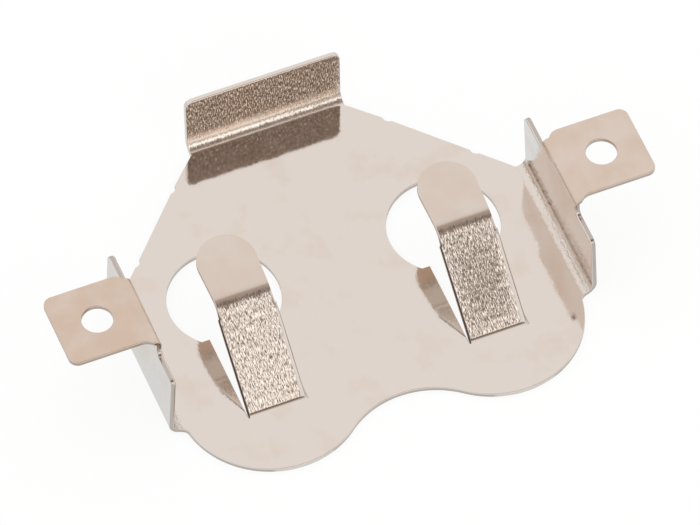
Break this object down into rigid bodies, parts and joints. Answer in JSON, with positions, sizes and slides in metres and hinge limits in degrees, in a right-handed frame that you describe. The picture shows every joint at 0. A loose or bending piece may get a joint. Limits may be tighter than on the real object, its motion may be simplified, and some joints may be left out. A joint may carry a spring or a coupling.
{
  "type": "coin cell holder",
  "caption": "Folded spring sheet retainer for a coin cell, with sprung contact tongues, side walls, a rear stop and holed solder tabs.",
  "frame": {"origin": "on the outer face of the plate, midway between the walls, on the line through the two contact windows", "axes": "+X from tab to tab, +Y towards the stop at the back, +Z from the plate towards the solder faces of the tabs"},
  "size_m": [0.0286, 0.0188, 0.005],
  "materials": {
    "nickel_plated_sheet": "bright nickel plate over fine rolling grain"
  },
  "bodies": {
    "root": {"retainer": "nickel_plated_sheet"}
  },
  "joints": []
}
